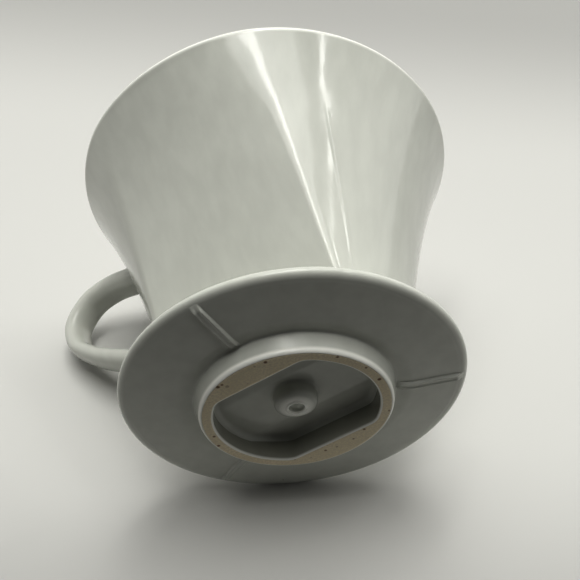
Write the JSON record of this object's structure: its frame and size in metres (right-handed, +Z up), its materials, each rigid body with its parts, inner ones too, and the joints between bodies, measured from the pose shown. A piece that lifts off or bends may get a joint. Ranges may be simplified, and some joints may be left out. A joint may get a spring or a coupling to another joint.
{
  "type": "pour over coffee dripper",
  "caption": "Wedge-type ceramic coffee dripper: a round-rimmed cone narrowing to a slot, on a round saucer with a slotted foot, a drip nozzle and a strap loop handle.",
  "frame": {"origin": "on the axis of the round rim and saucer, in the plane of the foot's flat underside", "axes": "+Z up along the cone's axis to the rim; +X along the filter slot, away from the handle; -Y and +Y face the flat sides of the cone"},
  "size_m": [0.1614, 0.1304, 0.1041],
  "materials": {
    "glazed_porcelain": "clear gloss glaze over white porcelain",
    "bare_porcelain": "unglazed, matt, fired foot with dark specks"
  },
  "bodies": {
    "root": {"cone_wall": "glazed_porcelain", "cone_floor": "glazed_porcelain", "saucer_flange": "glazed_porcelain", "foot_ring": "bare_porcelain", "drip_nozzle": "glazed_porcelain", "handle": "glazed_porcelain", "cup_rib_1": "glazed_porcelain", "cup_rib_2": "glazed_porcelain", "cup_rib_3": "glazed_porcelain", "filter_rib_front_1": "glazed_porcelain", "filter_rib_front_2": "glazed_porcelain", "filter_rib_front_3": "glazed_porcelain", "filter_rib_front_4": "glazed_porcelain", "filter_rib_front_5": "glazed_porcelain", "filter_rib_front_6": "glazed_porcelain", "filter_rib_front_7": "glazed_porcelain", "filter_rib_back_1": "glazed_porcelain", "filter_rib_back_2": "glazed_porcelain", "filter_rib_back_3": "glazed_porcelain", "filter_rib_back_4": "glazed_porcelain", "filter_rib_back_5": "glazed_porcelain", "filter_rib_back_6": "glazed_porcelain", "filter_rib_back_7": "glazed_porcelain"}
  },
  "joints": []
}
